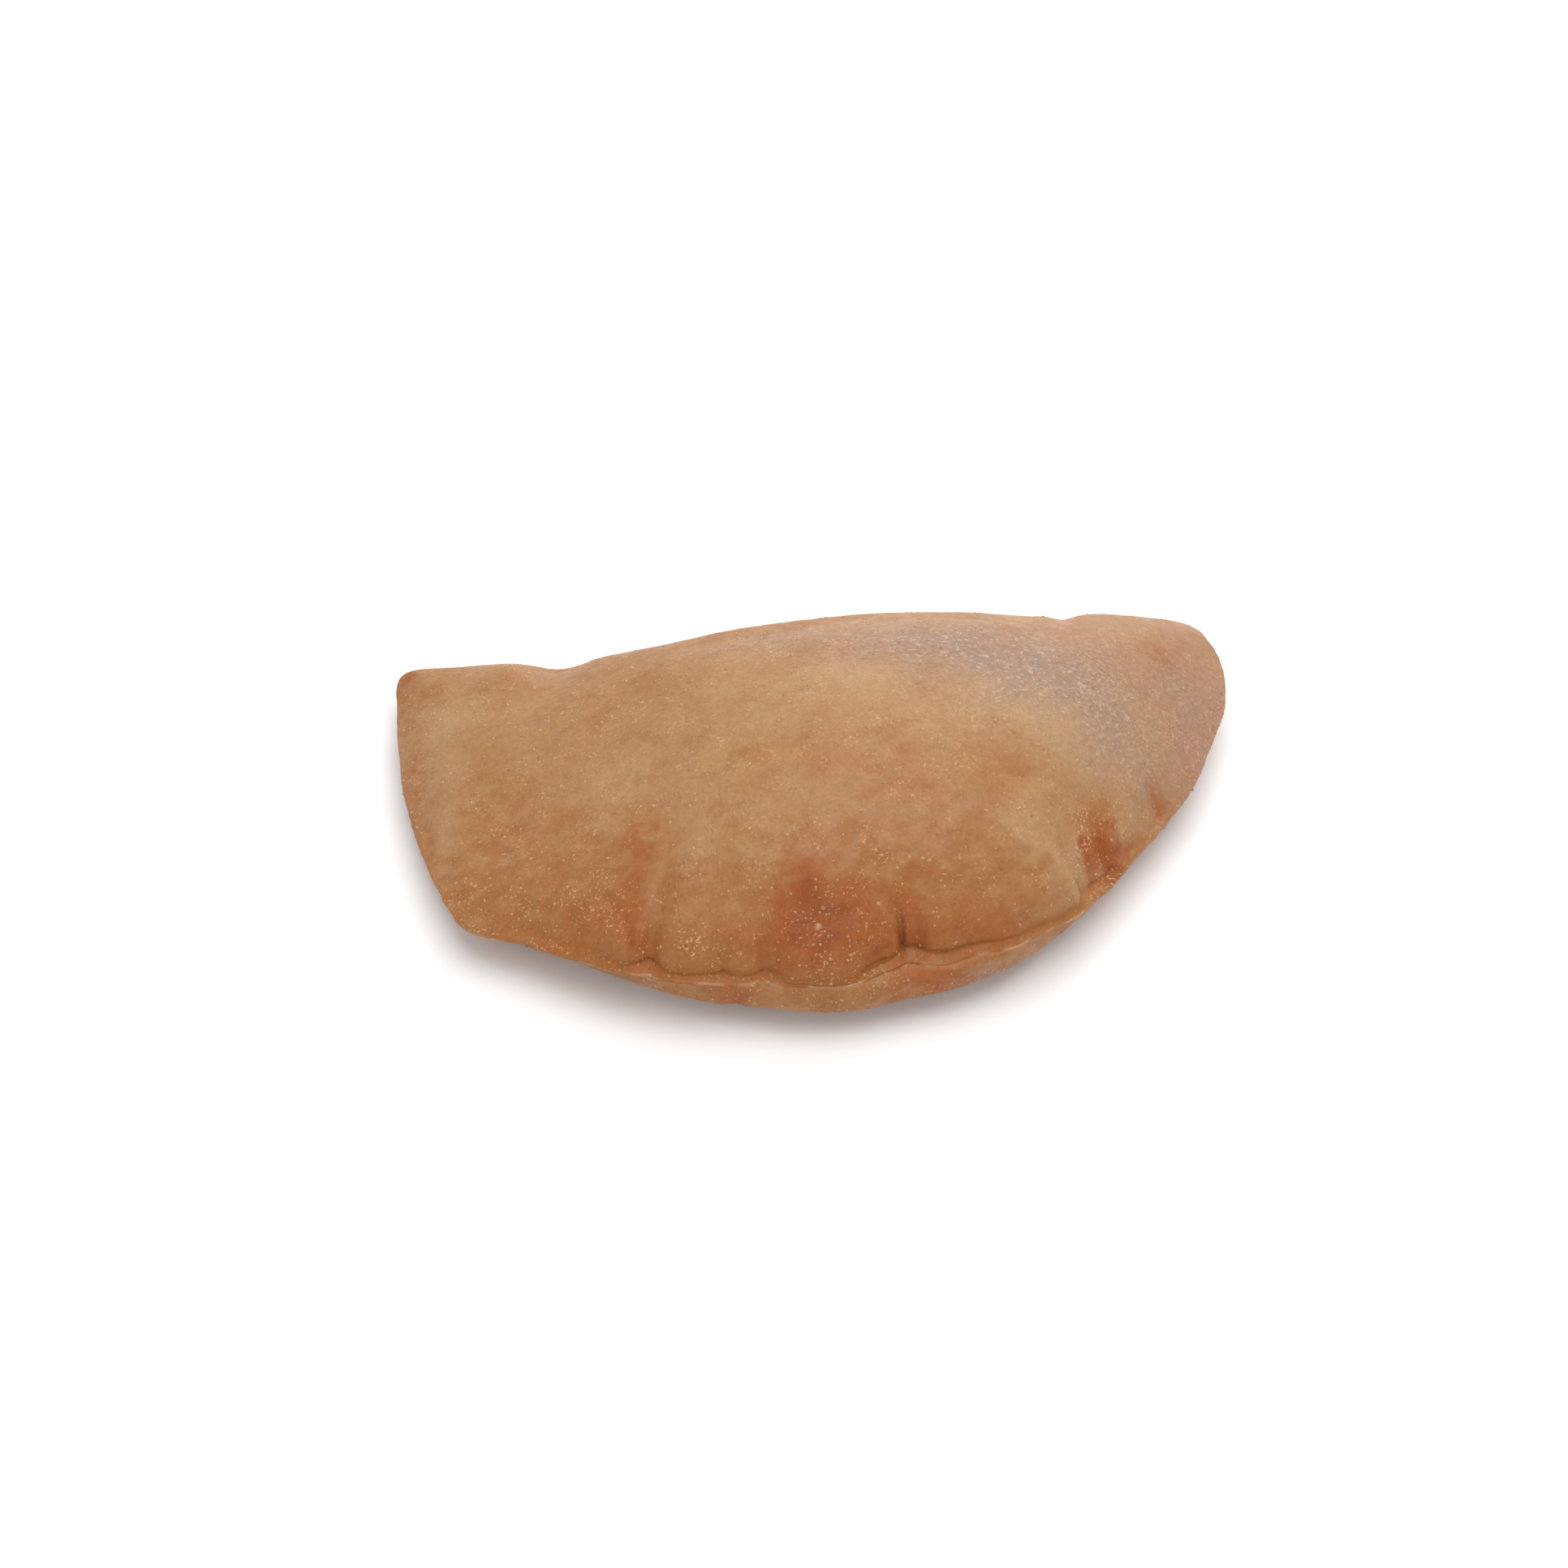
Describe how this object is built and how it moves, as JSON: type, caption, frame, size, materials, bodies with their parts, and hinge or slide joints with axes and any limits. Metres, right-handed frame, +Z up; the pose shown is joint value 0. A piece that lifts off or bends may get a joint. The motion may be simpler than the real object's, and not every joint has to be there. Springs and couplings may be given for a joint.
{
  "type": "panzerotto",
  "caption": "Half-moon pocket of fried dough, folded straight along the back and crimped along its curved front rim, lying on its flat underside.",
  "frame": {"origin": "on the table under the middle of the pocket's outline", "axes": "+X along the fold towards the narrower, rounded end, +Y from the crimped rim towards the fold, +Z up"},
  "size_m": [0.1902, 0.1041, 0.0391],
  "materials": {
    "fried_crust": "matte fried dough, tan with browner patches"
  },
  "bodies": {
    "root": {"panzerotto": "fried_crust"}
  },
  "joints": []
}
